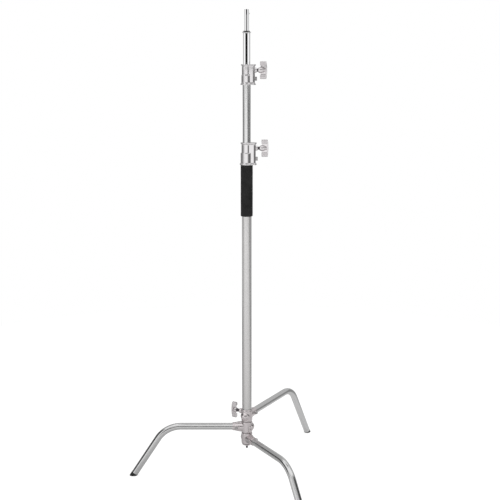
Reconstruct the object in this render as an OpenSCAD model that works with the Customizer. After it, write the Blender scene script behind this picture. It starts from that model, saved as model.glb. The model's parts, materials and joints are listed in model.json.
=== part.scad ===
// Century stand: a turtle base with three stacked swivelling legs, a lift-out column
// with a foam grip, and two telescopic risers locked by winged screw knobs.
// Millimetres, +Z up. The origin lies on the column's axis at floor level, and the
// sub-parts are drawn with the risers partly raised and the legs spread.

/* [Tubes] */
// Outside diameter of the column tube
column_od = 35; // [33:0.5:40]
// Wall of the column tube
column_wall = 1.5; // [1:0.1:1.8]
// Length of the column tube
column_len = 956; // [800:1:1200]
// Outside diameter of the lower riser
riser_1_od = 28.6; // [28:0.1:30.5]
// Wall of the lower riser
riser_1_wall = 1.2; // [0.8:0.1:1.4]
// Length of the lower riser's tube
riser_1_len = 905; // [790:1:1000]
// Outside diameter of the upper riser
riser_2_od = 25; // [23:0.1:25.4]
// Wall of the upper riser
riser_2_wall = 1.2; // [0.8:0.1:2]
// Length of the upper riser's tube
riser_2_len = 841; // [500:1:900]

/* [Stance] */
// Lower riser showing between the two collars
riser_1_out = 203; // [20:1:600]
// Upper riser showing above the upper collar
riser_2_out = 107; // [20:1:600]
// Direction of the fixed rear leg, from +X towards +Y
rear_leg_az = 60; // [55:1:65]
// Direction of the middle leg
left_leg_az = 180; // [175:1:185]
// Direction of the lowest leg
front_leg_az = 300; // [295:1:305]
// Swing of each folding leg
fold_angle = 120; // [100:1:120]

/* [Legs] */
// Height of the lowest leg's axis above the floor
low_leg_z = 152; // [140:1:200]
// Height that one hub takes up on the post
hub_pitch = 44; // [42:0.5:52]
// Outside diameter of a leg tube
leg_od = 25.4; // [22:0.1:28]
// Wall of a leg tube
leg_wall = 1.5; // [1:0.1:2]
// Slope of the leg's lower run below the horizontal
leg_slope = 57; // [52:0.5:62]
// Radius of the bend along the tube's centre line
leg_bend_r = 105; // [80:1:120]
// Rear leg, from the post's axis to the corner of its bend
rear_leg_reach = 356; // [340:1:400]
// Left leg, from the post's axis to the corner of its bend
left_leg_reach = 305; // [300:1:320]
// Front leg, from the post's axis to the corner of its bend
front_leg_reach = 292; // [270:1:295]
// Height of a leg tube's lowest edge above the floor
foot_lift = 3; // [2:0.5:8]
// Depth that a foot plug reaches into its tube
foot_depth = 26; // [15:1:40]

/* [Hubs and post] */
// Diameter of the spigot that drops into the post
spigot_od = 28.6; // [27:0.1:29]
// Length of the spigot below the column
spigot_len = 75; // [60:1:90]
// Length of the spigot's head inside the column
spigot_head = 45; // [30:1:60]
// Thickness of the spigot's flange under the column
spigot_flange = 2; // [1:0.5:4]
// Wall of the post that the hubs turn on
post_wall = 2.1; // [1.6:0.1:3]
// Wall of a hub's sleeve
hub_wall = 4; // [3:0.1:6]
// Height of the receiver's rim above the top hub
rim_h = 4; // [2:0.5:6]
// Distance of a leg socket's mouth from the axis
socket_reach = 54; // [50:0.5:60]
// Distance of a leg tube's inner end from the axis
socket_floor = 26; // [25:0.5:30]
// Wall of a leg socket at its mouth
socket_wall = 2.6; // [2:0.1:4]
// Extra socket radius where it meets the sleeve
socket_taper = 0.8; // [0:0.1:1.5]
// Thickness of the ribs above and below a socket
rib_t = 11; // [6:0.5:16]
// Radius of the ball-shaped boss opposite each leg
boss_r = 18.5; // [16:0.5:20]
// Reach of that boss from the axis
boss_reach = 28; // [26:0.5:32]
// Rounding of a hub's ends, on the radius
hub_round = 2.2; // [0.5:0.1:2.5]
// Height of that rounding
hub_round_h = 4; // [1:0.5:6]
// Thickness of the thrust washers between the hubs
washer_h = 1; // [0.6:0.1:2]
// Height of the bottom cap
cap_h = 6; // [5:0.5:12]
// Radius of the bottom cap's lower edge
cap_low_r = 10; // [8:0.5:14]
// Length of the stud that shows under the cap
stud_tail = 13; // [6:0.5:16]

/* [Collars] */
// Lower collar below the column's top end
lower_skirt = 40; // [36:0.5:50]
// Lower collar above the column's top end
lower_neck = 39; // [34:0.5:50]
// Upper collar below the lower riser's top end
upper_skirt = 32; // [30:0.5:45]
// Upper collar above the lower riser's top end
upper_neck = 39; // [34:0.5:50]
// Wall of a collar round the tube that carries it
skirt_wall = 4.2; // [3.5:0.1:6]
// Wall of a collar round its bush
neck_wall = 2.7; // [2.2:0.1:4]
// Wall of a collar's bush
bush_wall = 1.5; // [1.2:0.1:2.5]
// Height of the outer step above the tube's end
step_rise = 2; // [1:0.5:3]
// Reach of the lock block beyond the skirt
block_reach = 10.7; // [9:0.1:14]
// How much narrower the block is than the neck, each side
block_inset = 2; // [1:0.1:4]
// Corner radius of the block
block_corner = 9; // [2:0.5:9]
// Height of the collars' flanges
flange_h = 3.5; // [2:0.5:4]
// Height of the flare between a flange and the collar's wall
flare_h = 3; // [1:0.5:3.5]
// Overhang of the collars' flanges
flange_over = 3.3; // [1.5:0.1:4.5]
// Height of the screw's axis above the tube's end
lock_rise = 19; // [13:0.5:20]
// Height of the fixing bolts above the collars' lower ends
bolt_rise = 21.5; // [18:0.5:24]

/* [Locks] */
// Diameter of the lock screws
screw_d = 12; // [8:0.5:12.5]
// Diameter of the brake shoes
shoe_d = 14; // [13:0.5:15]
// Length of a brake shoe
shoe_len = 5; // [4:0.5:7]
// Travel of a lock from tight to loose
lock_travel = 3; // [2:0.1:4]
// Radius of the boss round each lock screw
lock_boss_r = 9.3; // [8.5:0.1:11]
// Length of the screw boss on a collar's block
lock_boss_len = 7; // [4:0.5:10]
// Direction of the base lock's screw, from +X towards +Y
base_lock_az = 150; // [142:1:200]
// Reach of the screw boss on the top hub
base_boss_reach = 30; // [28:0.5:32]
// Upper screw showing between its boss and the knob
upper_stem = 4.5; // [4:0.5:10]
// Lower screw showing between its boss and the knob
lower_stem = 7; // [4:0.5:10]
// Base screw showing between its boss and the knob
base_stem = 13.5; // [4:0.5:18]
// Span of a knob across its wings
knob_span = 62; // [54:1:70]
// Depth of a collar knob's wings along the screw
knob_depth = 25; // [20:0.5:32]
// Depth of the base knob's wings along the screw
base_knob_depth = 20; // [18:0.5:32]
// Thickness of a knob's wings
knob_t = 12; // [10:0.5:18]
// Length of a wing along the span
wing_len = 15; // [10:0.5:18]
// Rise of the knob's outer face over its span
knob_crown = 3; // [1:0.5:5]
// Thickness of the web in a knob's recesses
knob_web = 4; // [3:0.5:8]
// Thickness of the knob's outer rim
knob_rim = 4.5; // [4:0.5:9]
// Depth of the notch between a wing and the barrel
knob_notch = 2; // [1:0.5:6]
// Radius of the finger grooves along the wings
groove_r = 0.9; // [0.4:0.1:1.2]
// Largest radius of the knob's barrel
barrel_r = 10.6; // [8.5:0.1:11]
// Lead of the barrel in front of the wings on a collar's knob
barrel_lead = 6.3; // [4:0.1:9]

/* [Fasteners] */
// Shank diameter of the collars' fixing bolts
bolt_d = 8; // [5:0.5:8]
// Their hexagon, across flats
bolt_flats = 12; // [10:0.5:13]
// Height of their hexagon
bolt_head_h = 5.6; // [4:0.1:7]
// Height of the round flange under their hexagon
bolt_flange_h = 1.6; // [1:0.1:2.5]
// Diameter of the bolts through the leg sockets
leg_bolt_d = 6; // [5:0.5:7]
// Their hexagons, across flats
leg_bolt_flats = 10; // [9:0.5:11]
// Height of their hexagons
leg_bolt_head_h = 4; // [3:0.1:5]
// Height of the round flange under their heads
leg_bolt_flange_h = 1.2; // [0.8:0.1:2]
// Thickness of their nuts
leg_nut_h = 5; // [4:0.1:6]
// Thread that shows past the nuts
leg_bolt_tail = 1.5; // [0.5:0.1:3]
// Diameter of the stop screws and of the post's grub screw
stop_d = 6; // [5:0.5:7]
// Diameter of the stop screws' heads
stop_head_d = 9; // [8:0.5:11]
// Height of the stop screws' heads
stop_head_h = 3; // [2.5:0.1:4]
// Hexagon sockets of these screws, across flats
socket_flats = 3; // [2.5:0.1:4]
// Depth of these sockets
socket_depth = 1.8; // [1:0.1:2]

/* [Grip] */
// Wall of the foam grip
grip_wall = 4.4; // [3:0.1:8]
// Length of the foam grip
grip_len = 186; // [100:1:300]
// Rounding of the grip's lower edge
grip_round = 2.8; // [0.5:0.1:2.9]

/* [Top stud] */
// Diameter of the top stud
stud_d = 16; // [14:0.1:17]
// Length of the full-size part of the stud
stud_len = 55; // [45:0.5:70]
// Length of the relieved tip that carries the safety pin
tip_len = 18.5; // [16:0.5:24]
// Safety pin's axis below the top of the tip
pin_drop = 14.5; // [6:0.5:15]
// Relief of the tip, on the radius
tip_relief = 0.2; // [0.1:0.05:0.4]
// Height of the shoulder between the riser and the stud
shoulder_h = 8; // [6:0.5:10]
// Radius of the rim at the foot of the shoulder
shoulder_r = 16; // [14:0.1:17]
// Diameter of the safety pin
pin_d = 5; // [4:0.1:6]
// How far the safety pin stands proud of the tip
pin_proud = 3; // [2:0.1:4]

/* [Hidden] */
$fn = 72;

// Clearances: pieces of one body, running fits, brake shoes, end faces, collar lips, and how far
// a cutter or a joined solid reaches past a face
seat_gap = 0.05;
run_gap = 0.1;
shoe_gap = 0.3;
end_gap = 0.2;
lip_gap = 0.15;
cut = 1;

// Colours
steel = [0.74, 0.74, 0.75];
chrome = [0.86, 0.87, 0.89];
cast = [0.72, 0.69, 0.69];
cast_bright = [0.85, 0.83, 0.84];
dark_steel = [0.22, 0.21, 0.23];
black_foam = [0.09, 0.09, 0.1];
black_rubber = [0.07, 0.07, 0.07];
nylon = [0.15, 0.15, 0.16];
brass = [0.78, 0.62, 0.32];

// Radii of the nested tubes
column_r = column_od / 2;
column_ri = column_r - column_wall;
riser_1_r = riser_1_od / 2;
riser_1_ri = riser_1_r - riser_1_wall;
riser_2_r = riser_2_od / 2;
riser_2_ri = riser_2_r - riser_2_wall;
grip_ri = column_r + seat_gap;
grip_r = grip_ri + grip_wall;
leg_r = leg_od / 2;
leg_ri = leg_r - leg_wall;
spigot_r = spigot_od / 2;
post_ri = spigot_r + run_gap;
post_r = post_ri + post_wall;
hub_r = post_r + hub_wall;

// Heights of the stack, from the floor up
mid_leg_z = low_leg_z + hub_pitch;
high_leg_z = mid_leg_z + hub_pitch;
hub_h = hub_pitch - washer_h - 2 * end_gap;
rim_z = high_leg_z + hub_pitch / 2 + rim_h;
cap_top_z = low_leg_z - hub_pitch / 2 - washer_h / 2 - end_gap;
post_z = cap_top_z - cap_h / 2;
post_top_z = high_leg_z + hub_h / 2;
column_z = rim_z + 2 * end_gap + spigot_flange;
column_top_z = column_z + column_len;
lower_collar_top_z = column_top_z + lower_neck;
riser_1_top_z = lower_collar_top_z + riser_1_out + upper_skirt;
riser_1_z = riser_1_top_z - riser_1_len;
upper_collar_top_z = riser_1_top_z + upper_neck;
riser_2_top_z = upper_collar_top_z + riser_2_out;
riser_2_z = riser_2_top_z - riser_2_len;
shoulder_z = riser_2_top_z + shoulder_h;
grip_top_z = column_top_z - lower_skirt - shoe_gap;

// Locks: heights of their screws, faces of their blocks, bosses and knobs along the screws
base_lock_sink = 3.5;
base_lock_z = rim_z - lock_boss_r - base_lock_sink;
lower_lock_z = column_top_z + lock_rise;
upper_lock_z = riser_1_top_z + lock_rise;
lower_block_x = column_r + skirt_wall + block_reach;
upper_block_x = riser_1_r + skirt_wall + block_reach;
lower_boss_x = lower_block_x + lock_boss_len;
upper_boss_x = upper_block_x + lock_boss_len;
lock_boss_end_r = lock_boss_r - 1.2;
base_knob_x = base_boss_reach + base_stem;
lower_knob_x = lower_boss_x + lower_stem;
upper_knob_x = upper_boss_x + upper_stem;
base_lead = 1;
knob_engage = 12;
knob_edge = 3;
barrel_lip = 1.5;
barrel_swell = 0.3;
barrel_tip_r = 4.2;
groove_step = 30;
groove_pitch = knob_t / 2 * groove_step * PI / 180;
groove_rows = floor((wing_len - knob_t / 2 - groove_r) / groove_pitch);

// Legs: bend tangent, slope from a tube's square end to the floor, bolts through the sockets
bend_run = leg_bend_r * tan(leg_slope / 2);
bend_lap = 1;
bend_thin = 0.1;
foot_drop = (foot_lift + leg_r * cos(leg_slope)) / sin(leg_slope);
pad_rise = 1.2;
pad_rim = 0.6;
flange_lap = 0.3;
socket_mouth_r = leg_r + seat_gap + socket_wall;
leg_bolt_inset = 14;
leg_bolt_x = socket_reach - leg_bolt_inset;
leg_bolt_r = leg_bolt_d / 2;
leg_bolt_flange_r = hex_r(leg_bolt_flats) + flange_lap;
leg_pad_r = leg_bolt_flange_r + pad_rim;
leg_pad_y = socket_mouth_r + pad_rise;

// Hubs: edges, ribs from the sleeve to the socket's mouth, and stop screws on their pads
hub_edge = 1.5;
rim_inset = 0.8;
taper_end = 8;
rib_inset = 1.5;
rib_flat = 3;
rib_end = 6;
rib_sink = 1;
stop_r = stop_d / 2;
stop_offset = 80;
stop_pad_r = stop_head_d / 2 + 2 * pad_rim;
stop_pad_x = hub_r + pad_rise;
grub_sink = 0.5;
grub_drop = 13;
grub_az = rear_leg_az + 90;
grub_z = high_leg_z - grub_drop;
stop_slot = asin((stop_r + shoe_gap) / post_ri);
left_stop_az = left_leg_az - stop_offset;
front_stop_az = front_leg_az + stop_offset;

// Post's lower end: threaded plug, dome of the cap, and the stud through both
post_plug_len = 18;
cap_r = hub_r - hub_round;
cap_dome_h = 0.7 * cap_h;
bottom_stud_r = 4;
bottom_stud_edge = 1.5;
bottom_stud_grip = 7.5;

// Risers: end plugs and guides
plug_len = 25;
guide_len = 60;
guide_neck_r = 7;
guide_washer_h = 2;
guide_screw_r = 3;
guide_head_h = 3;
guide_screw_len = 20;
guide_screw_play = 2;
guide_head_r = 1.7 * guide_screw_r;
guide_edge = 1;
collar_lip_h = 3;
bush_sink = 1;
spigot_edge = 2;

// Top stud and its safety pin: radii, edges, places along the stud, and the pin's spring
stud_r = stud_d / 2;
tip_r = stud_r - tip_relief;
pin_r = pin_d / 2;
shoulder_lip = 0.8;
shoulder_rim = shoulder_h / 2;
shoulder_flat = 1.2;
tip_edge = 1;
pin_z = shoulder_z + stud_len + tip_len - pin_drop;
pin_len = 7.5;
pin_x = tip_r + pin_proud - pin_len;
spring_len = 7;
spring_wire = 0.5;
spring_turns = 4;
spring_r = pin_r - 1.5 * spring_wire;
pin_hole_x = pin_x - 2 * seat_gap - spring_len;

// Corner radius of a hexagon, from its size across flats
function hex_r(flats) = flats / 2 / cos(30);

// Tube standing on height z
module tube(z, len, r, ri) {
    translate([0, 0, z])
        difference() {
            cylinder(h = len, r = r);
            translate([0, 0, -cut])
                cylinder(h = len + 2 * cut, r = ri);
        }
}

// Round bar along +X between two distances from the axis
module x_bar(x0, x1, r) {
    translate([x0, 0, 0])
        rotate([0, 90, 0])
            cylinder(h = x1 - x0, r = r);
}

// Round bar along Y through the leg's axis
module y_bar(y0, y1, r) {
    translate([0, y0, 0])
        rotate([-90, 0, 0])
            cylinder(h = y1 - y0, r = r);
}

// Hexagon prism along +X, given across flats
module x_hex(x0, x1, flats) {
    translate([x0, 0, 0])
        rotate([0, 90, 0])
            cylinder(h = x1 - x0, r = hex_r(flats), $fn = 6);
}

// Flanged hex bolt along +X, its shank from x0 and its head on the face at x1
module flanged_bolt(x0, x1, r, flange_r, flange_h, flats, head_h) {
    x_bar(x0, x1 + flange_h, r);
    x_bar(x1 + seat_gap, x1 + flange_h, flange_r);
    x_hex(x1 + flange_h / 2, x1 + flange_h + head_h, flats);
}

// Ring with chamfered outer edges
module chamfered_ring(z, h, r, ri, edge) {
    translate([0, 0, z])
        rotate_extrude()
            polygon([
                [ri, 0], [r - edge, 0], [r, edge],
                [r, h - edge], [r - edge, h], [ri, h]
            ]);
}

// Solid along a leg's centre line, from the socket to the foot. The drawn bend is a hair
// thinner than the straight runs, which lap over its ends.
module leg_path(z, reach, r, x0, drop) {
    run = z / sin(leg_slope) - bend_run - drop;
    translate([x0, 0, z])
        rotate([0, 90, 0])
            cylinder(h = reach - bend_run - x0 + bend_lap, r = r);
    translate([reach - bend_run, 0, z - leg_bend_r])
        rotate([90, 0, 0])
            rotate([0, 0, 90 - leg_slope])
                rotate_extrude(angle = leg_slope)
                    translate([leg_bend_r, 0])
                        circle(r - bend_thin);
    translate([reach, 0, z])
        rotate([0, 90 + leg_slope, 0])
            translate([0, 0, bend_run - bend_lap])
                cylinder(h = run + bend_lap, r = r);
}

// Bent leg tube, drilled for the bolt in its socket
module leg_tube(az, z, reach) {
    color(steel)
        rotate([0, 0, az])
            difference() {
                leg_path(z, reach, leg_r, socket_floor, foot_drop);
                leg_path(z, reach, leg_ri, socket_floor - cut, foot_drop - cut);
                translate([leg_bolt_x, 0, z])
                    y_bar(-leg_r - cut, leg_r + cut, leg_bolt_r + seat_gap);
            }
}

// Rubber plug in a leg's lower end, cut flat on the floor
module leg_foot(az, z, reach) {
    end_x = reach + (z / sin(leg_slope) - foot_drop) * cos(leg_slope);
    end_z = z - (z / sin(leg_slope) - foot_drop) * sin(leg_slope);
    floor_slab = 4 * leg_od;
    color(black_rubber)
        rotate([0, 0, az])
            difference() {
                translate([end_x, 0, end_z])
                    rotate([0, 90 + leg_slope, 0])
                        union() {
                            translate([0, 0, seat_gap])
                                cylinder(h = leg_od, r = leg_r);
                            translate([0, 0, -foot_depth])
                                cylinder(h = foot_depth + leg_r, r = leg_ri - seat_gap);
                        }
                translate([end_x - floor_slab / 2, -floor_slab / 2, -floor_slab])
                    cube(floor_slab);
            }
}

// Hex bolt across a leg socket, with its head on the side given by turn
module leg_bolt(az, z, turn) {
    color(dark_steel)
        rotate([0, 0, az])
            translate([leg_bolt_x, 0, z])
                rotate([0, 0, turn])
                    flanged_bolt(
                        -leg_pad_y - leg_nut_h - leg_bolt_tail, leg_pad_y, leg_bolt_r,
                        leg_bolt_flange_r, leg_bolt_flange_h, leg_bolt_flats, leg_bolt_head_h
                    );
}

// Nut on the far end of that bolt
module leg_nut(az, z, turn) {
    color(dark_steel)
        rotate([0, 0, az])
            translate([leg_bolt_x, 0, z])
                rotate([0, 0, turn + 180])
                    difference() {
                        x_hex(leg_pad_y + seat_gap, leg_pad_y + leg_nut_h, leg_bolt_flats);
                        x_bar(leg_pad_y - cut, leg_pad_y + leg_nut_h + cut, leg_bolt_r + seat_gap);
                    }
}

// Upright rib between a hub's sleeve and its socket, above or below
module socket_rib(side) {
    root_x = post_r + hub_wall / 2;
    root_z = side * (hub_h / 2 - rib_inset);
    tip_x = socket_reach - rib_end;
    tip_z = side * (socket_mouth_r - rib_sink);
    rotate([90, 0, 0])
        linear_extrude(height = rib_t, center = true)
            polygon([[root_x, 0], [root_x, root_z], [hub_r + rib_flat, root_z], [tip_x, tip_z], [tip_x, 0]]);
}

// Sleeve of a hub, its ends rounded, or chamfered where the receiver's rim stands on it
module hub_sleeve(top) {
    low = [
        for (a = [0:15:90])
            [hub_r - hub_round * (1 - sin(a)), hub_round_h * (1 - cos(a)) - hub_h / 2]
    ];
    high = top
        ? [[hub_r, hub_h / 2 - hub_edge], [hub_r - hub_edge, hub_h / 2]]
        : [for (i = [len(low) - 1:-1:0]) [low[i][0], -low[i][1]]];
    rotate_extrude()
        polygon(concat([[post_r - cut, -hub_h / 2]], low, high, [[post_r - cut, hub_h / 2]]));
}

// Leg hub: sleeve on the post, leg socket with ribs, and the ball-shaped boss behind it
module hub(az, z, bore_r, top) {
    translate([0, 0, z])
        rotate([0, 0, az])
            difference() {
                union() {
                    hub_sleeve(top);
                    x_bar(0, socket_reach, socket_mouth_r);
                    rotate([0, 90, 0])
                        cylinder(
                            h = socket_reach - taper_end,
                            r1 = socket_mouth_r + 2 * socket_taper,
                            r2 = socket_mouth_r
                        );
                    socket_rib(1);
                    socket_rib(-1);
                    translate([boss_r - boss_reach, 0, 0])
                        sphere(boss_r);
                    translate([leg_bolt_x, 0, 0])
                        y_bar(-leg_pad_y, leg_pad_y, leg_pad_r);
                    if (top)
                        tube(hub_h / 2 - cut, rim_z - z - hub_h / 2 + cut, hub_r - rim_inset, post_ri);
                }
                translate([0, 0, -hub_h / 2 - cut])
                    cylinder(h = hub_h + cut, r = bore_r);
                x_bar(socket_floor - seat_gap, socket_reach + cut, leg_r + seat_gap);
                translate([leg_bolt_x, 0, 0])
                    y_bar(-leg_pad_y - cut, leg_pad_y + cut, leg_bolt_r + seat_gap);
            }
}

// Folding hub: turns on the post and carries a stop screw on a pad
module folding_hub(az, z, stop_az) {
    color(cast)
        difference() {
            union() {
                hub(az, z, post_r + run_gap, false);
                translate([0, 0, z])
                    rotate([0, 0, stop_az])
                        x_bar(post_r + hub_wall / 2, stop_pad_x, stop_pad_r);
            }
            translate([0, 0, z])
                rotate([0, 0, stop_az])
                    x_bar(0, stop_pad_x + cut, stop_r + seat_gap);
        }
}

// Screw whose tip runs in the post's slot and limits a leg's swing
module stop_screw(z, stop_az) {
    head_x = stop_pad_x + stop_head_h;
    color(dark_steel)
        translate([0, 0, z])
            rotate([0, 0, stop_az])
                union() {
                    x_bar(post_ri + shoe_gap, stop_pad_x + cut, stop_r);
                    difference() {
                        x_bar(stop_pad_x + seat_gap, head_x, stop_head_d / 2);
                        x_hex(head_x - socket_depth, head_x + cut, socket_flats);
                    }
                }
}

// Fixed top hub: receiver for the column, rear leg socket and boss for the base lock
module top_hub() {
    color(cast)
        difference() {
            union() {
                hub(rear_leg_az, high_leg_z, post_r + seat_gap, true);
                translate([0, 0, base_lock_z])
                    rotate([0, 0, base_lock_az])
                        x_bar(post_r + hub_wall / 2, base_boss_reach, lock_boss_r);
            }
            translate([0, 0, base_lock_z])
                rotate([0, 0, base_lock_az])
                    lock_bores(spigot_r, base_boss_reach);
            translate([0, 0, grub_z])
                rotate([0, 0, grub_az])
                    x_bar(0, hub_r + cut, stop_r + seat_gap);
        }
}

// Annular slot through the post for one stop screw
module stop_slot_cut(z, from_az, to_az) {
    translate([0, 0, z])
        rotate([0, 0, from_az - stop_slot])
            rotate_extrude(angle = to_az - from_az + 2 * stop_slot)
                translate([post_ri - cut, -stop_r - shoe_gap])
                    square([post_wall + 2 * cut, 2 * (stop_r + shoe_gap)]);
}

// Steel post inside the hubs, slotted for the stop screws and open to the base lock
module center_post() {
    color(steel)
        difference() {
            tube(post_z, post_top_z - post_z, post_r, post_ri);
            stop_slot_cut(mid_leg_z, left_stop_az - fold_angle, left_stop_az);
            stop_slot_cut(low_leg_z, front_stop_az, front_stop_az + fold_angle);
            translate([0, 0, base_lock_z])
                rotate([0, 0, base_lock_az])
                    x_bar(0, post_r + cut, shoe_d / 2 + run_gap);
            translate([0, 0, grub_z])
                rotate([0, 0, grub_az])
                    x_bar(0, post_r + cut, stop_r + seat_gap);
        }
}

// Threaded plug in the post's lower end
module post_plug() {
    color(steel)
        difference() {
            translate([0, 0, post_z])
                cylinder(h = post_plug_len, r = post_ri - seat_gap);
            translate([0, 0, post_z - cut])
                cylinder(h = post_plug_len + 2 * cut, r = bottom_stud_r + seat_gap);
        }
}

// Grub screw that holds the post in the top hub
module post_set_screw() {
    color(dark_steel)
        translate([0, 0, grub_z])
            rotate([0, 0, grub_az])
                difference() {
                    x_bar(post_ri + shoe_gap, hub_r - grub_sink, stop_r);
                    x_hex(hub_r - grub_sink - socket_depth, hub_r + cut, socket_flats);
                }
}

// Thrust washers under and between the hubs
module hub_washers() {
    color(nylon)
        for (z = [low_leg_z, mid_leg_z, high_leg_z])
            tube(z - hub_pitch / 2 - washer_h / 2, washer_h, cap_r, post_r + shoe_gap);
}

// Domed cap that carries the hubs on the post's lower end
module bottom_cap() {
    dome_w = cap_r - cap_low_r;
    color(cast)
        difference() {
            translate([0, 0, cap_top_z - cap_h])
                rotate_extrude()
                    polygon(concat(
                        [[0, 0]],
                        [for (a = [0:15:90]) [cap_low_r + dome_w * sin(a), cap_dome_h * (1 - cos(a))]],
                        [[cap_r, cap_h], [0, cap_h]]
                    ));
            translate([0, 0, post_z - seat_gap])
                cylinder(h = cap_h, r = post_r + seat_gap);
            translate([0, 0, cap_top_z - cap_h - cut])
                cylinder(h = cap_h + cut, r = bottom_stud_r + seat_gap);
        }
}

// Stud that clamps the cap to the post's plug, with a rounded tail
module bottom_stud() {
    color(dark_steel)
        translate([0, 0, cap_top_z - cap_h - stud_tail])
            union() {
                cylinder(h = bottom_stud_edge, r1 = bottom_stud_r - bottom_stud_edge, r2 = bottom_stud_r);
                translate([0, 0, bottom_stud_edge])
                    cylinder(h = stud_tail + cap_h + bottom_stud_grip - bottom_stud_edge, r = bottom_stud_r);
            }
}

// Pocket for the shoe and thread bore for the screw, along +X
module lock_bores(tube_r, face_x) {
    shoe_x = tube_r + shoe_gap + shoe_len;
    x_bar(0, shoe_x + lock_travel + shoe_gap, shoe_d / 2 + run_gap);
    x_bar(0, face_x + cut, screw_d / 2 + run_gap);
}

// Brass brake shoe, hollowed to the tube that it grips
module shoe(tube_r, z) {
    color(brass)
        translate([0, 0, z])
            difference() {
                x_bar(tube_r / 2, tube_r + shoe_gap + shoe_len, shoe_d / 2);
                translate([0, 0, -shoe_d])
                    cylinder(h = 2 * shoe_d, r = tube_r + shoe_gap);
            }
}

// Lock screw between the shoe and the knob
module lock_screw(tube_r, knob_x, z) {
    color(dark_steel)
        translate([0, 0, z])
            x_bar(tube_r + shoe_gap + shoe_len + seat_gap, knob_x + knob_engage, screw_d / 2);
}

// Side outline of a knob: crowned outer face, wings and the waist between them
module knob_outline(lead, depth) {
    crown_r = knob_span * knob_span / 8 / knob_crown;
    outer = lead + depth;
    half = knob_span / 2;
    difference() {
        intersection() {
            translate([outer - crown_r, 0])
                circle(crown_r, $fn = 180);
            union() {
                translate([lead, -half + knob_edge])
                    square([2 * depth, knob_span - 2 * knob_edge]);
                translate([lead + knob_edge, -half])
                    square([2 * depth, knob_span]);
                for (side = [-1, 1])
                    translate([lead + knob_edge, side * (half - knob_edge)])
                        circle(knob_edge);
            }
        }
        translate([lead - cut, -half + wing_len])
            square([knob_notch + cut, knob_span - 2 * wing_len]);
    }
}

// End outline of a knob: a bar with round ends
module knob_end_outline() {
    half = knob_span / 2;
    square([knob_t, knob_span - knob_t], center = true);
    for (side = [-1, 1])
        translate([0, side * (half - knob_t / 2)])
            circle(knob_t / 2);
}

// Finger grooves along both faces of a knob's wings and round their ends
module knob_grooves(lead, depth) {
    end_r = knob_t / 2;
    end_z = knob_span / 2 - end_r;
    places = concat(
        [for (a = [-90:groove_step:90]) [end_r * sin(a), end_z + end_r * cos(a)]],
        [for (face = [-1, 1], i = [1:groove_rows]) [face * end_r, end_z - i * groove_pitch]]
    );
    for (side = [-1, 1], p = places)
        translate([0, p[0], side * p[1]])
            x_bar(lead - cut, lead + depth + cut, groove_r);
}

// Barrel radius at share s of the barrel's length: it swells near the screw, then tapers to the rim
function barrel_profile(s) =
    let (end_r = screw_d / 2 + barrel_lip, past = (s - barrel_swell) / (1 - barrel_swell))
        s < barrel_swell
            ? end_r + (barrel_r - end_r) * sin(90 * s / barrel_swell)
            : barrel_tip_r + (barrel_r - barrel_tip_r) * (1 + cos(180 * past)) / 2;

// Winged knob along +X, its barrel's face at knob_x
module knob(knob_x, z, lead, depth) {
    barrel_len = lead + depth - knob_rim / 2;
    steps = 12;
    recess = (knob_t - knob_web) / 2;
    recess_x = depth - knob_rim + cut;
    color(cast_bright)
        translate([knob_x, 0, z])
            difference() {
                union() {
                    difference() {
                        intersection() {
                            rotate([90, 0, 0])
                                linear_extrude(height = knob_t + cut, center = true)
                                    knob_outline(lead, depth);
                            rotate([90, 0, 90])
                                linear_extrude(height = lead + 2 * depth)
                                    knob_end_outline();
                        }
                        for (side = [-1, 1])
                            translate([lead + recess_x / 2 - cut, side * (knob_web + recess + cut) / 2, 0])
                                cube([recess_x, recess + cut, knob_span - 2 * wing_len], center = true);
                        knob_grooves(lead, depth);
                    }
                    rotate([0, 90, 0])
                        rotate_extrude()
                            polygon(concat(
                                [[0, 0]],
                                [for (i = [0:steps]) [barrel_profile(i / steps), barrel_len * i / steps]],
                                [[0, barrel_len]]
                            ));
                }
                x_bar(-cut, knob_engage + seat_gap, screw_d / 2 + seat_gap);
            }
}

// Plan of a collar at one level: a ring with a squared block on +X
module collar_plan(r, block_x, half_w, corner) {
    circle(r);
    translate([0, -half_w])
        square([block_x - corner, 2 * half_w]);
    translate([0, -half_w + corner])
        square([block_x, 2 * (half_w - corner)]);
    for (side = [-1, 1])
        translate([block_x - corner, side * (half_w - corner)])
            circle(corner);
}

// Flange of a collar at z = 0 with a flare above it, round the ring and round the block
module collar_flange(r, block_x, half_w) {
    top = flange_h + flare_h;
    edge_x = block_x + flange_over;
    edge_y = half_w + flange_over;
    corner_x = block_x - block_corner;
    corner_y = half_w - block_corner;
    linear_extrude(height = flange_h)
        collar_plan(r + flange_over, edge_x, edge_y, block_corner + flange_over);
    translate([0, 0, flange_h])
        cylinder(h = flare_h, r1 = r + flange_over, r2 = r);
    for (side = [-1, 1])
        translate([corner_x, side * corner_y, flange_h])
            cylinder(h = flare_h, r1 = block_corner + flange_over, r2 = block_corner);
    rotate([90, 0, 0])
        linear_extrude(height = 2 * corner_y, center = true)
            polygon([[0, 0], [edge_x, 0], [edge_x, flange_h], [block_x, top], [0, top]]);
    rotate([90, 0, 90])
        linear_extrude(height = corner_x)
            polygon([
                [-edge_y, 0], [edge_y, 0], [edge_y, flange_h],
                [half_w, top], [-half_w, top], [-edge_y, flange_h]
            ]);
}

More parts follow.
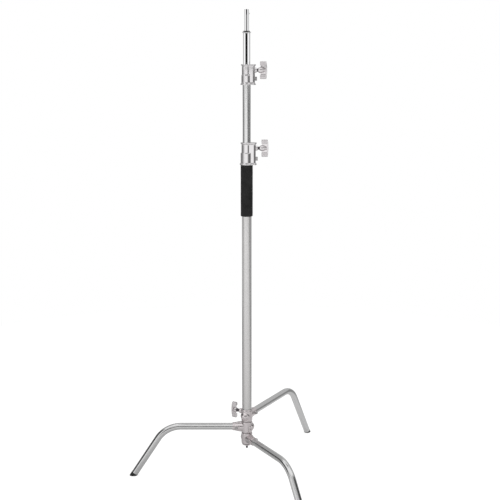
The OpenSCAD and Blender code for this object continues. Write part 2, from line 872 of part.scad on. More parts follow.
// Lock collar: skirt on its own tube, neck round the next tube's bush, flanges and block
module collar(end_z, tube_r, inner_r, skirt, neck, block_x) {
    bush_r = inner_r + run_gap + bush_wall;
    skirt_r = tube_r + skirt_wall;
    neck_r = bush_r + seat_gap + neck_wall;
    half_w = neck_r - block_inset;
    face_x = block_x + lock_boss_len;
    color(cast_bright)
        translate([0, 0, end_z])
            difference() {
                union() {
                    translate([0, 0, -skirt])
                        linear_extrude(height = skirt + step_rise)
                            collar_plan(skirt_r, block_x, half_w, block_corner);
                    linear_extrude(height = neck)
                        collar_plan(neck_r, block_x, half_w, block_corner);
                    translate([0, 0, -skirt])
                        collar_flange(skirt_r, block_x, half_w);
                    translate([0, 0, neck])
                        mirror([0, 0, 1])
                            collar_flange(neck_r, block_x, half_w);
                    translate([block_x - cut, 0, lock_rise])
                        rotate([0, 90, 0])
                            cylinder(h = lock_boss_len + cut, r1 = lock_boss_r, r2 = lock_boss_end_r);
                }
                translate([0, 0, -skirt - cut])
                    cylinder(h = skirt + cut + seat_gap, r = tube_r + seat_gap);
                translate([0, 0, -cut])
                    cylinder(h = neck + 2 * cut, r = inner_r + lip_gap);
                translate([0, 0, collar_lip_h])
                    cylinder(h = neck, r = bush_r + seat_gap);
                translate([0, 0, lock_rise])
                    lock_bores(inner_r, face_x);
                translate([0, 0, bolt_rise - skirt])
                    x_bar(0, block_x + cut, bolt_d / 2 + seat_gap);
            }
}

// Nylon bush in a collar's neck, open where the shoe passes
module collar_bush(end_z, inner_r, neck) {
    bush_ri = inner_r + run_gap;
    color(nylon)
        translate([0, 0, end_z])
            difference() {
                tube(collar_lip_h + seat_gap, neck - collar_lip_h - bush_sink, bush_ri + bush_wall, bush_ri);
                translate([0, 0, lock_rise])
                    x_bar(0, 2 * inner_r, shoe_d / 2 + run_gap);
            }
}

// Hex bolt through a collar's block into the wall of its tube
module collar_bolt(end_z, skirt, tube_ri, block_x) {
    color(cast_bright)
        translate([0, 0, end_z - skirt + bolt_rise])
            flanged_bolt(
                tube_ri + seat_gap, block_x, bolt_d / 2,
                hex_r(bolt_flats) + flange_lap, bolt_flange_h, bolt_flats, bolt_head_h
            );
}

// Riser or column tube, drilled for its collar's bolt
module collared_tube(z, len, r, ri, skirt) {
    color(steel)
        difference() {
            tube(z, len, r, ri);
            translate([0, 0, z + len - skirt + bolt_rise])
                x_bar(0, r + cut, bolt_d / 2 + seat_gap);
        }
}

// Upper riser, chrome plated
module riser_2_tube() {
    color(chrome)
        tube(riser_2_z, riser_2_len, riser_2_r, riser_2_ri);
}

// Plug in a riser's lower end, with a neck for the guide
module end_plug(z, ri) {
    color(steel)
        difference() {
            union() {
                translate([0, 0, z])
                    cylinder(h = plug_len, r = ri - seat_gap);
                translate([0, 0, z - guide_len - 2 * end_gap])
                    cylinder(h = guide_len + 2 * end_gap + cut, r = guide_neck_r);
            }
            translate([0, 0, z - guide_len - cut])
                cylinder(h = guide_screw_len + cut, r = guide_screw_r + seat_gap);
        }
}

// Sliding guide on that neck
module guide(z, outer_ri) {
    color(nylon)
        chamfered_ring(
            z - guide_len - end_gap, guide_len,
            outer_ri - run_gap, guide_neck_r + run_gap, guide_edge
        );
}

// Washer that keeps the guide on the neck
module guide_washer(z, ri) {
    color(steel)
        tube(
            z - guide_len - 2 * end_gap - guide_washer_h - seat_gap, guide_washer_h,
            ri - guide_edge, guide_screw_r + seat_gap
        );
}

// Screw that holds the washer
module guide_screw(z) {
    head_z = z - guide_len - 2 * end_gap - guide_washer_h - 2 * seat_gap;
    color(dark_steel)
        difference() {
            union() {
                translate([0, 0, head_z - guide_head_h])
                    cylinder(h = guide_head_h, r = guide_head_r);
                translate([0, 0, head_z - cut])
                    cylinder(h = guide_screw_len - guide_screw_play + cut, r = guide_screw_r);
            }
            translate([0, 0, head_z - guide_head_h - cut])
                cylinder(h = guide_head_h / 2 + cut, r = guide_screw_r, $fn = 6);
        }
}

// Spigot between the base and the column: pin, flange and head
module column_spigot() {
    color(steel)
        union() {
            translate([0, 0, rim_z + end_gap - spigot_len])
                cylinder(h = spigot_edge, r1 = spigot_r - spigot_edge, r2 = spigot_r);
            translate([0, 0, rim_z + end_gap - spigot_len + spigot_edge])
                cylinder(h = spigot_len - spigot_edge, r = spigot_r);
            translate([0, 0, rim_z + end_gap])
                cylinder(h = spigot_flange, r = column_r);
            translate([0, 0, rim_z + end_gap + spigot_flange - seat_gap])
                cylinder(h = spigot_head + seat_gap, r = column_ri - run_gap);
        }
}

// Foam grip below the lower collar, its lower edge rounded
module foam_grip() {
    color(black_foam)
        translate([0, 0, grip_top_z - grip_len])
            rotate_extrude()
                polygon(concat(
                    [[grip_ri, 0]],
                    [for (a = [0:15:90]) [grip_r - grip_round * (1 - sin(a)), grip_round * (1 - cos(a))]],
                    [[grip_r, grip_len], [grip_ri, grip_len]]
                ));
}

// Top stud: plug in the riser, shoulder of a rim and a cone, full-size shank and relieved tip with
// the pin's hole
module top_stud() {
    color(chrome)
        difference() {
            union() {
                translate([0, 0, riser_2_top_z - plug_len])
                    cylinder(h = plug_len + cut, r = riser_2_ri - seat_gap);
                translate([0, 0, riser_2_top_z])
                    rotate_extrude()
                        polygon([
                            [0, seat_gap], [riser_2_r, seat_gap],
                            [shoulder_r, shoulder_rim - shoulder_flat], [shoulder_r, shoulder_rim],
                            [riser_2_r, shoulder_rim], [stud_r + shoulder_lip, shoulder_h], [0, shoulder_h]
                        ]);
                translate([0, 0, shoulder_z - cut])
                    cylinder(h = stud_len + cut, r = stud_r);
                translate([0, 0, shoulder_z + stud_len - cut])
                    cylinder(h = tip_len - tip_edge + cut, r = tip_r);
                translate([0, 0, shoulder_z + stud_len + tip_len - tip_edge])
                    cylinder(h = tip_edge, r1 = tip_r, r2 = tip_r - tip_edge);
            }
            translate([0, 0, pin_z])
                x_bar(pin_hole_x, stud_d, pin_r + run_gap);
        }
}

// Sprung safety pin that keeps a fitting from sliding off the stud
module safety_pin() {
    color(chrome)
        translate([0, 0, pin_z])
            union() {
                x_bar(pin_x, tip_r + pin_proud - tip_edge, pin_r);
                translate([tip_r + pin_proud - tip_edge, 0, 0])
                    rotate([0, 90, 0])
                        cylinder(h = tip_edge, r1 = pin_r, r2 = pin_r - tip_edge);
            }
}

// Centre line of the pin's spring at share s of its turns
function spring_point(s) = [
    pin_hole_x + seat_gap + spring_wire / 2 + (spring_len - spring_wire) * s,
    spring_r * cos(360 * spring_turns * s),
    spring_r * sin(360 * spring_turns * s)
];

// Coil spring behind the safety pin, swept as one tube
module safety_spring() {
    sides = 6;
    rings = 8 * spring_turns + 1;
    points = [
        for (i = [0:rings - 1])
            let (s = i / (rings - 1), turn = 360 * spring_turns * s, c = spring_point(s))
                for (k = [0:sides - 1])
                    let (a = 360 * k / sides, w = spring_wire / 2)
                        c + w * [sin(a), cos(a) * cos(turn), cos(a) * sin(turn)]
    ];
    walls = [
        for (i = [0:rings - 2])
            for (k = [0:sides - 1])
                let (a = i * sides + k, b = i * sides + (k + 1) % sides)
                    for (face = [[a, a + sides, b], [b, a + sides, b + sides]])
                        face
    ];
    last = (rings - 1) * sides;
    near_cap = [for (k = [1:sides - 2]) [0, k, k + 1]];
    far_cap = [for (k = [1:sides - 2]) [last, last + k + 1, last + k]];
    echo(spring_gap = (spring_len - spring_wire) / spring_turns - spring_wire);
    color(steel)
        translate([0, 0, pin_z])
            polyhedron(points, concat(walls, near_cap, far_cap));
}

top_hub();
center_post();
post_plug();
post_set_screw();
hub_washers();
bottom_cap();
bottom_stud();
leg_tube(rear_leg_az, high_leg_z, rear_leg_reach);  // rear_leg_tube
leg_foot(rear_leg_az, high_leg_z, rear_leg_reach);  // rear_leg_foot
leg_bolt(rear_leg_az, high_leg_z, -90);  // rear_leg_bolt
leg_nut(rear_leg_az, high_leg_z, -90);  // rear_leg_nut
folding_hub(left_leg_az, mid_leg_z, left_stop_az);  // left_hub
leg_tube(left_leg_az, mid_leg_z, left_leg_reach);  // left_leg_tube
leg_foot(left_leg_az, mid_leg_z, left_leg_reach);  // left_leg_foot
leg_bolt(left_leg_az, mid_leg_z, 90);  // left_leg_bolt
leg_nut(left_leg_az, mid_leg_z, 90);  // left_leg_nut
stop_screw(mid_leg_z, left_stop_az);  // left_stop_screw
folding_hub(front_leg_az, low_leg_z, front_stop_az);  // front_hub
leg_tube(front_leg_az, low_leg_z, front_leg_reach);  // front_leg_tube
leg_foot(front_leg_az, low_leg_z, front_leg_reach);  // front_leg_foot
leg_bolt(front_leg_az, low_leg_z, -90);  // front_leg_bolt
leg_nut(front_leg_az, low_leg_z, -90);  // front_leg_nut
stop_screw(low_leg_z, front_stop_az);  // front_stop_screw
rotate([0, 0, base_lock_az]) shoe(spigot_r, base_lock_z);  // base_shoe
rotate([0, 0, base_lock_az]) lock_screw(spigot_r, base_knob_x, base_lock_z);  // base_screw
rotate([0, 0, base_lock_az]) knob(base_knob_x, base_lock_z, base_lead, base_knob_depth);  // base_knob
column_spigot();
collared_tube(column_z, column_len, column_r, column_ri, lower_skirt);  // column_tube
foam_grip();
collar(column_top_z, column_r, riser_1_r, lower_skirt, lower_neck, lower_block_x);  // lower_collar
collar_bush(column_top_z, riser_1_r, lower_neck);  // lower_collar_bush
collar_bolt(column_top_z, lower_skirt, column_ri, lower_block_x);  // lower_collar_bolt
shoe(riser_1_r, lower_lock_z);  // lower_shoe
lock_screw(riser_1_r, lower_knob_x, lower_lock_z);  // lower_screw
knob(lower_knob_x, lower_lock_z, barrel_lead, knob_depth);  // lower_knob
guide(riser_1_z, column_ri);  // riser_1_guide
collared_tube(riser_1_z, riser_1_len, riser_1_r, riser_1_ri, upper_skirt);  // riser_1_tube
end_plug(riser_1_z, riser_1_ri);  // riser_1_end_plug
guide_washer(riser_1_z, riser_1_ri);  // riser_1_guide_washer
guide_screw(riser_1_z);  // riser_1_guide_screw
collar(riser_1_top_z, riser_1_r, riser_2_r, upper_skirt, upper_neck, upper_block_x);  // upper_collar
collar_bush(riser_1_top_z, riser_2_r, upper_neck);  // upper_collar_bush
collar_bolt(riser_1_top_z, upper_skirt, riser_1_ri, upper_block_x);  // upper_collar_bolt
shoe(riser_2_r, upper_lock_z);  // upper_shoe
lock_screw(riser_2_r, upper_knob_x, upper_lock_z);  // upper_screw
knob(upper_knob_x, upper_lock_z, barrel_lead, knob_depth);  // upper_knob
guide(riser_2_z, riser_1_ri);  // riser_2_guide
riser_2_tube();
end_plug(riser_2_z, riser_2_ri);  // riser_2_end_plug
guide_washer(riser_2_z, riser_2_ri);  // riser_2_guide_washer
guide_screw(riser_2_z);  // riser_2_guide_screw
top_stud();
safety_pin();
safety_spring();
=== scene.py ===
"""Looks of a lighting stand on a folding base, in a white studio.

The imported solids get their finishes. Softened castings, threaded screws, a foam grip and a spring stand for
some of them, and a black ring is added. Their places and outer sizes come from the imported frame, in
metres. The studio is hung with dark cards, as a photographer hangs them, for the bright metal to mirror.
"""

import json
import math

import bmesh
import bpy
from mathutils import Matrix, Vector, noise


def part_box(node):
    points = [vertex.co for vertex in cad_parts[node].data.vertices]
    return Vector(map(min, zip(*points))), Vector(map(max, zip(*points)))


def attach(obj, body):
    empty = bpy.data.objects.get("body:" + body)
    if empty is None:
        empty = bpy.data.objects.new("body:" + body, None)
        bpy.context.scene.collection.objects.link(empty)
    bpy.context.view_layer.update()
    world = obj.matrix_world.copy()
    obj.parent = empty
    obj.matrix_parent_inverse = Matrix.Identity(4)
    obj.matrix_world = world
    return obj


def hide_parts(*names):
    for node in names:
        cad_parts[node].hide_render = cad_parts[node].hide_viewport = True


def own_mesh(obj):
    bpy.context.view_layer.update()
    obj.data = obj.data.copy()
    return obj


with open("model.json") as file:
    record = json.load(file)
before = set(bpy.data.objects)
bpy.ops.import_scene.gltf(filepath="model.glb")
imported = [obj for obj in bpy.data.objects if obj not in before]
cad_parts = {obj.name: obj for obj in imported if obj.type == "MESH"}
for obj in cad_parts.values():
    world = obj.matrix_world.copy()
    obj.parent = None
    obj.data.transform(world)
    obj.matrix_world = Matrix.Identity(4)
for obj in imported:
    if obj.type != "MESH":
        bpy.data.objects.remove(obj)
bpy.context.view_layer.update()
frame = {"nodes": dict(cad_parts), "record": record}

MM = 0.001
AXIS_X = Vector((1.0, 0.0, 0.0))
AXIS_Y = Vector((0.0, 1.0, 0.0))
AXIS_Z = Vector((0.0, 0.0, 1.0))
QUARTER_ARC = [math.radians(angle) for angle in range(0, 91, 15)]
WHITE = (1.0, 1.0, 1.0, 1.0)

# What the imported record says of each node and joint
SLOT_OF = {row["node"]: row["material_slot"] for row in frame["record"]["subparts"]}
BODY_OF = {node: body for body, nodes in frame["record"]["behaviour"]["bodies"].items() for node in nodes}
JOINT_OF = {row["name"]: row for row in frame["record"]["behaviour"]["joints"]}

# Sub-parts that repeat, by the names that their nodes start with
LEGS = ("rear_leg", "left_leg", "front_leg")
COLLARS = ("lower_collar", "upper_collar")
LOCKS = ("base", "lower", "upper")

# Nodes that are softened, then the size of a voxel, the smoothing passes and the share of the faces kept
SOFTENED = (
    (("top_hub", "left_hub", "front_hub"), 0.7 * MM, 8, 0.5),
    (("bottom_cap",), 0.6 * MM, 6, 0.5),
    (COLLARS, 0.6 * MM, 8, 1.0),
    ([lock + "_knob" for lock in LOCKS], 0.45 * MM, 3, 0.6),
    ([lock + "_shoe" for lock in LOCKS], 0.4 * MM, 16, 1.0),
    ([leg + "_foot" for leg in LEGS], 0.5 * MM, 5, 0.3),
    ([held + "_bolt" for held in LEGS + COLLARS], 0.3 * MM, 3, 0.3),
)
# Points this close are welded before that, and one smoothing pass takes a point this share of its way
WELD_DISTANCE = 0.01 * MM
SMOOTHING = 0.5

# Threads of the lock screws and of the stud under the base, with steps to a turn and sides to a ring
THREAD_PITCH = 1.5 * MM
THREAD_DEPTH = 0.8 * MM
THREAD_CHAMFER = 1.2 * MM
THREAD_STEPS = 8
THREAD_SIDES = 40

# Foam grip: rounding of its lower and upper end, depth and length of the waves in its skin, and its mesh
FOAM_ROUND = 2.8 * MM
FOAM_TOP_ROUND = 1.2 * MM
FOAM_WAVE = 0.45 * MM
FOAM_WAVE_LENGTH = 14 * MM
FOAM_STEP = 2.5 * MM
FOAM_SIDES = 96

# Spring behind the safety pin, with steps to a turn and sides to its wire
SPRING_WIRE = 0.5 * MM
SPRING_TURNS = 4
SPRING_STEPS = 24
SPRING_SIDES = 10

# Ring on the cone at the foot of the top stud: its finish, its walls at the cone's foot and tip, the
# rounding of its rim, its gap to the stud, and how far above the flange the stud is sure to be straight
RING_SLOT = "rubber_foot"
RING_WALL = 0.8 * MM
RING_TOP_WALL = 2.6 * MM
RING_ROUND = 0.8 * MM
RING_GAP = 0.1 * MM
RING_CLEAR = 10 * MM
RING_SIDES = 72

# Camera, from the photograph: its place, its tilt below the horizon and its focal length in pixels
FRAME_PX = 500
FOCAL_PX = 978.8
CAMERA_PLACE = Vector((0.0118, -3.5, 1.549))
CAMERA_TILT = math.radians(10.93)
SENSOR = 36.0

# Studio: brightness of the backdrop that the camera sees, of the soft light, and of the surround that
# metal mirrors, on which the cards hang. A card is given by the azimuth of its middle (0 towards the
# camera, 90 to the right), its half width, its lowest and highest elevation, the softness of its sides and
# of its upper and lower edges, all in degrees, and its brightness. A later card covers an earlier one.
BACKDROP = 1.0
SOFT_LEVEL = 0.55
SURROUND = 1.0
CARDS = {
    "behind_camera": (-5, 36, -0.27, 1.62, 5, 0.04, 0.015),
    "above_camera": (0, 38, 1.62, 2.56, 14, 0.1, 0.24),
    "over_camera": (-2, 35, 2.56, 21, 8, 0.1, 0.03),
    "front_right": (66, 44, -7, -0.3, 36, 0.1, 0.16),
    "low_right": (98, 44, -60, -7, 30, 3, 0.38),
    "back_left": (-128, 62, -60, -5, 44, 4, 0.55),
    "back_right": (146, 36, -60, -5, 22, 4, 0.46),
    "wall_left": (-146, 44, -4, 62, 18, 6, 0.44),
    "wall_right": (146, 44, -4, 62, 18, 6, 0.56),
    "high_front": (10, 62, 25, 46, 24, 6, 0.66),
    "high_right": (54, 26, 22, 48, 26, 6, 0.24),
    "flag_left": (-112, 46, -6, -0.3, 80, 0.1, 0.21),
    "flag_left_high": (-118, 26, 4, 25, 20, 4, 0.05),
    "flag_left_near": (-86, 24, 3.6, 40, 14, 1.2, 0.09),
    "flag_right": (128, 22, -6, 14, 14, 4, 0.28),
    "flag_right_high": (83, 25, 3.6, 33, 12, 3, 0.03),
    "ceiling": (0, 200, 80, 100, 8, 6, 0.03),
}

# Floor: its size, its grey, and the glow that makes it white to the camera
FLOOR_RADIUS = 2.6
FLOOR_SIDES = 96
FLOOR_SHADE = 0.33
FLOOR_GLOW = 0.78

# Glow of the floor where metal mirrors it: it fades from the front to the back, and a round pool is added
FLOOR_MIRRORED = 0.45
FLOOR_FRONT = -1.4
FLOOR_BACK = 0.95
POOL_LEVEL = 0.27
POOL_MIDDLE = (0.28, 0.45, 0.0)
POOL_INNER = 0.15
POOL_OUTER = 0.6

# Lamps: place, size, watts and colour, and the point that they face
LAMPS = {
    "key": ((-2.4, -2.6, 3.2), 1.8, 60, (1.0, 0.985, 1.0)),
    "fill": ((2.8, -1.8, 2.4), 1.8, 26, (1.0, 0.99, 0.97)),
    "top": ((0.2, 0.6, 4.2), 2.2, 40, (1.0, 1.0, 1.0)),
}
LAMP_TARGET = Vector((0.0, 0.0, 0.8))


# Node helpers

def add_node(tree, kind, inputs=None, **settings):
    """A new node. Inputs are set by name or number, from a value or from another node's output."""
    made = tree.nodes.new(kind)
    for name, value in settings.items():
        setattr(made, name, value)
    for key, value in (inputs or {}).items():
        if isinstance(value, bpy.types.NodeSocket):
            tree.links.new(value, made.inputs[key])
        else:
            made.inputs[key].default_value = value
    return made


def math_node(tree, operation, first, second=0.0):
    """The result of one Math node."""
    return add_node(tree, "ShaderNodeMath", {0: first, 1: second}, operation=operation).outputs[0]


def map_range(tree, value, low, high, to_low=0.0, to_high=1.0, smooth=False):
    """The value moved from one range to another, and held at its ends."""
    kind = "SMOOTHSTEP" if smooth else "LINEAR"
    inputs = {0: value, 1: low, 2: high, 3: to_low, 4: to_high}
    return add_node(tree, "ShaderNodeMapRange", inputs, interpolation_type=kind).outputs[0]


def ray_kinds(tree):
    """Two sockets: 1 on a ray from the camera, and 1 on a ray from metal or glass."""
    rays = add_node(tree, "ShaderNodeLightPath").outputs
    shiny = math_node(tree, "ADD", rays["Is Glossy Ray"], rays["Is Transmission Ray"])
    return rays["Is Camera Ray"], shiny


def grey(level):
    """A colour without a hue."""
    return (level, level, level)


def shaded(colour, share):
    """The colour, darker or lighter by that share."""
    return tuple(channel * share for channel in colour)


# Finishes

METAL = {"Metallic": 1.0}
MATTE = {"Specular IOR Level": 0.35}

# Shares of the painted shade in hollows, with worn edges lighter, and of clouds in the tone of a casting
SHADE_AND_WEAR_SHARE = 0.6
CLOUD_SHARE = 0.4


class Finish:
    """A material with a Principled shader, and patterns in the object's own coordinates."""

    def __init__(self, name, settings):
        self.material = bpy.data.materials.new(name)
        self.material.use_nodes = True
        self.tree = self.material.node_tree
        self.shader = self.tree.nodes["Principled BSDF"]
        self.point = add_node(self.tree, "ShaderNodeTexCoord").outputs["Object"]
        for socket, value in settings.items():
            self.shader.inputs[socket].default_value = value

    def noise(self, size, detail=3.0, roughness=0.55, along_z=1.0):
        """Noise from 0 to 1 with features of about that size, in metres, and along_z times as tall."""
        squeeze = {"Vector": self.point, "Scale": (1.0, 1.0, 1.0 / along_z)}
        point = add_node(self.tree, "ShaderNodeMapping", squeeze).outputs[0]
        inputs = {"Vector": point, "Scale": 1.0 / size, "Detail": detail, "Roughness": roughness}
        return add_node(self.tree, "ShaderNodeTexNoise", inputs).outputs[0]

    def edges(self, low, high):
        """0 in hollows and 1 on edges. The limits are values of pointiness, which is 0.5 on a flat."""
        pointed = add_node(self.tree, "ShaderNodeNewGeometry").outputs["Pointiness"]
        return map_range(self.tree, pointed, low, high, smooth=True)

    def colour(self, value, dark, light):
        """Base colour from dark to light. A Mix node takes colours at 6 and 7, and gives one at 2."""
        inputs = {0: value, 6: (*dark, 1.0), 7: (*light, 1.0)}
        mixed = add_node(self.tree, "ShaderNodeMix", inputs, data_type="RGBA").outputs[2]
        self.tree.links.new(mixed, self.shader.inputs["Base Color"])

    def shade(self, value, colour, dark, light):
        """Base colour from a dark share to a light share of one colour."""
        self.colour(value, shaded(colour, dark), shaded(colour, light))

    def roughness(self, value, low, high):
        """Roughness from low to high."""
        ranged = map_range(self.tree, value, 0.0, 1.0, low, high)
        self.tree.links.new(ranged, self.shader.inputs["Roughness"])

    def bump(self, height, depth, strength):
        """Relief of that depth, in metres."""
        inputs = {"Strength": strength, "Distance": depth, "Height": height}
        relief = add_node(self.tree, "ShaderNodeBump", inputs).outputs[0]
        self.tree.links.new(relief, self.shader.inputs["Normal"])


def drawn_tube(name, colour, rough):
    """Stainless tube: faint streaks along its length and handling marks in its gloss."""
    finish = Finish(name, METAL)
    streaks = finish.noise(size=2.5 * MM, along_z=60.0)
    smudges = finish.noise(size=45 * MM, detail=4.0)
    finish.shade(streaks, colour, dark=0.93, light=1.04)
    finish.roughness(smudges, low=0.8 * rough, high=1.2 * rough)
    finish.bump(streaks, depth=0.003 * MM, strength=0.3)
    return finish.material


def polished_tube(name, colour, rough):
    """Polished leg tube: soft marks from polishing, and fine scuffs in its gloss."""
    finish = Finish(name, METAL)
    marks = finish.noise(size=14 * MM, detail=5.0, roughness=0.6)
    scuffs = finish.noise(size=3 * MM, detail=4.0, roughness=0.7)
    finish.shade(marks, colour, dark=0.94, light=1.03)
    finish.roughness(scuffs, low=0.75 * rough, high=1.25 * rough)
    finish.bump(marks, depth=0.006 * MM, strength=0.2)
    return finish.material


def chrome_plate(name, colour):
    """Bright chrome with faint wipe marks along its length."""
    finish = Finish(name, METAL)
    wipes = finish.noise(size=6 * MM, detail=4.0, along_z=12.0)
    finish.shade(wipes, colour, dark=0.97, light=1.0)
    finish.roughness(wipes, low=0.015, high=0.03)
    return finish.material


def casting(name, colour, rough, grain, depth):
    """Die casting: fine grain of that size and depth, cloudy tone, lighter worn edges and painted shade in
    hollows.
    """
    finish = Finish(name, METAL)
    # Painted shade: pointiness darkens hollows and joints between parts, and worn edges stay lighter
    shade_and_wear = math_node(finish.tree, "MULTIPLY", finish.edges(low=0.44, high=0.56), SHADE_AND_WEAR_SHARE)
    clouds = math_node(finish.tree, "MULTIPLY", finish.noise(size=12 * MM, detail=4.0), CLOUD_SHARE)
    fine = finish.noise(grain, roughness=0.65)
    finish.shade(math_node(finish.tree, "ADD", shade_and_wear, clouds), colour, dark=0.66, light=1.0)
    finish.roughness(fine, low=0.85 * rough, high=1.2 * rough)
    finish.bump(fine, depth, strength=0.5)
    return finish.material


def blackened_steel(name):
    """Blackened screw: oily dark metal with paler wear on its crests."""
    finish = Finish(name, METAL)
    crests = finish.edges(low=0.48, high=0.6)
    spots = finish.noise(size=2 * MM)
    finish.colour(crests, dark=(0.10, 0.09, 0.10), light=(0.38, 0.36, 0.38))
    finish.roughness(spots, low=0.25, high=0.5)
    finish.bump(spots, depth=0.03 * MM, strength=0.4)
    return finish.material


def plated_steel(name, colour):
    """Zinc-plated fastener: slightly mottled, with a soft shine."""
    finish = Finish(name, METAL)
    mottle = finish.noise(size=1.6 * MM, detail=4.0, roughness=0.65)
    finish.shade(mottle, colour, dark=0.86, light=1.08)
    finish.roughness(mottle, low=0.2, high=0.36)
    finish.bump(mottle, depth=0.03 * MM, strength=0.35)
    return finish.material


def turned_steel(name, colour):
    """Turned part: fine tool rings along its height."""
    finish = Finish(name, METAL)
    size = 2.4 * MM
    inputs = {"Vector": finish.point, "Scale": 1.0 / size, "Distortion": 0.6, "Detail": 2.0}
    rings = add_node(finish.tree, "ShaderNodeTexWave", inputs, bands_direction="Z").outputs["Fac"]
    finish.shade(rings, colour, dark=0.9, light=1.06)
    finish.roughness(rings, low=0.2, high=0.32)
    finish.bump(rings, depth=0.02 * MM, strength=0.4)
    return finish.material


def soft_black(name, dark, light, rough, cell, depth):
    """Rubber, nylon or foam: a matte black with its own size and depth of cell."""
    finish = Finish(name, MATTE)
    cells = finish.noise(cell, detail=4.0, roughness=0.7)
    patches = finish.noise(size=25 * MM)
    both = math_node(finish.tree, "MULTIPLY", cells, patches)
    finish.colour(map_range(finish.tree, both, low=0.1, high=0.4), grey(dark), grey(light))
    finish.roughness(cells, low=0.9 * rough, high=min(1.0, 1.1 * rough))
    finish.bump(cells, depth, strength=0.7)
    return finish.material


# Finish of each material slot: the function that makes it and the function's values, which are one colour
# or a dark and a light grey, then a roughness, then the size and depth of the grain or of the cells
FINISHES = {
    "column_steel": (drawn_tube, (0.76, 0.75, 0.745), 0.26),
    "riser_steel": (drawn_tube, grey(0.84), 0.13),
    "chrome_tube": (chrome_plate, (0.93, 0.93, 0.94)),
    "leg_steel": (polished_tube, grey(0.76), 0.16),
    "cast_hub": (casting, (0.97, 0.905, 0.915), 0.23, 0.6 * MM, 0.012 * MM),
    "cast_collar": (casting, (0.99, 0.97, 0.98), 0.05, 0.8 * MM, 0.0015 * MM),
    "cast_knob": (casting, (0.96, 0.925, 0.935), 0.06, 0.7 * MM, 0.002 * MM),
    "dark_steel": (blackened_steel,),
    "bolt_steel": (plated_steel, (0.52, 0.51, 0.51)),
    "turned_steel": (turned_steel, grey(0.66)),
    "brass_shoe": (turned_steel, (0.72, 0.52, 0.22)),
    "nylon_bush": (soft_black, 0.016, 0.03, 0.5, 1.2 * MM, 0.02 * MM),
    "rubber_foot": (soft_black, 0.010, 0.022, 0.65, 1.0 * MM, 0.05 * MM),
    "foam_black": (soft_black, 0.011, 0.030, 0.9, 0.8 * MM, 0.12 * MM),
}
MATERIALS = {slot: make(slot, *values) for slot, (make, *values) in FINISHES.items()}


# Mesh helpers

def mesh_object(name, draft, smooth=True):
    """An object in the scene from a bmesh, which is freed."""
    mesh = bpy.data.meshes.new(name)
    bmesh.ops.recalc_face_normals(draft, faces=draft.faces)
    draft.to_mesh(mesh)
    draft.free()
    for face in mesh.polygons:
        face.use_smooth = smooth
    obj = bpy.data.objects.new(name, mesh)
    bpy.context.scene.collection.objects.link(obj)
    return obj


def lofted(name, rings, loop=False):
    """A skin over rings of points. A loop joins the last ring to the first, and an open skin is capped."""
    draft = bmesh.new()
    rows = [[draft.verts.new(point) for point in ring] for ring in rings]
    next_rows = rows[1:] + rows[:1] if loop else rows[1:]
    for low, high in zip(rows, next_rows):
        for here, corner in enumerate(low):
            there = (here + 1) % len(low)
            draft.faces.new((corner, low[there], high[there], high[here]))
    if not loop:
        draft.faces.new(rows[0])
        draft.faces.new(rows[-1])
    return mesh_object(name, draft)


def spokes(side, other, count):
    """Unit vectors all round, in the plane of two directions."""
    turns = [2.0 * math.pi * step / count for step in range(count)]
    return [side * math.cos(turn) + other * math.sin(turn) for turn in turns]


def points_of(node):
    """The points of a CAD node."""
    return [vertex.co for vertex in frame["nodes"][node].data.vertices]


def heights_and_radii(node):
    """Height and distance from the Z axis of each point of a CAD node."""
    return [(point.z, math.hypot(point.x, point.y)) for point in points_of(node)]


def reach_along(node, origin, axis):
    """Reach of a CAD node along an axis through a point, and its largest radius about that axis."""
    spots = [point - origin for point in points_of(node)]
    heights = [spot.dot(axis) for spot in spots]
    radius = max((spot - axis * height).length for spot, height in zip(spots, heights))
    return min(heights), max(heights), radius


def dress(obj, body, slot):
    """Gives a piece its body and its finish."""
    obj.data.materials.append(MATERIALS[slot])
    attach(obj, body)


def stand_for(obj, node):
    """Puts a piece in the place of a CAD node, with the node's body and finish."""
    dress(obj, BODY_OF[node], SLOT_OF[node])
    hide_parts(node)


# Pieces

def rounded(node, voxel, passes, keep):
    """A copy of a CAD solid with softened edges and filleted inner corners, as a casting has them."""
    draft = bmesh.new()
    draft.from_mesh(frame["nodes"][node].data)
    bmesh.ops.remove_doubles(draft, verts=draft.verts, dist=WELD_DISTANCE)
    cast = mesh_object(node + "_cast", draft)
    remesh = cast.modifiers.new("voxels", "REMESH")
    remesh.mode = "VOXEL"
    remesh.voxel_size = voxel
    soften = cast.modifiers.new("soften", "SMOOTH")
    soften.factor = SMOOTHING
    soften.iterations = passes
    if keep < 1.0:
        thin = cast.modifiers.new("thin", "DECIMATE")
        thin.ratio = keep
    graph = bpy.context.evaluated_depsgraph_get()
    mesh = bpy.data.meshes.new_from_object(cast.evaluated_get(graph))
    for face in mesh.polygons:
        face.use_smooth = True
    cast.modifiers.clear()
    cast.data = mesh
    stand_for(cast, node)


def threaded_rod(node, origin, axis):
    """A screw with a helical thread, chamfered at both ends, in the place of a plain CAD screw."""
    low, high, radius = reach_along(node, origin, axis)
    side = axis.orthogonal().normalized()
    around = spokes(side, axis.cross(side), THREAD_SIDES)
    count = math.ceil((high - low) / THREAD_PITCH * THREAD_STEPS)
    rings = []
    for step in range(count + 1):
        height = low + (high - low) * step / count
        chamfered = radius - max(0.0, THREAD_CHAMFER - min(height - low, high - height))
        ring = []
        for corner, spoke in enumerate(around):
            phase = (height / THREAD_PITCH - corner / THREAD_SIDES) % 1.0
            grooved = radius - THREAD_DEPTH * (1.0 - abs(2.0 * phase - 1.0))
            ring.append(origin + axis * height + spoke * min(chamfered, grooved))
        rings.append(ring)
    stand_for(lofted(node + "_thread", rings), node)


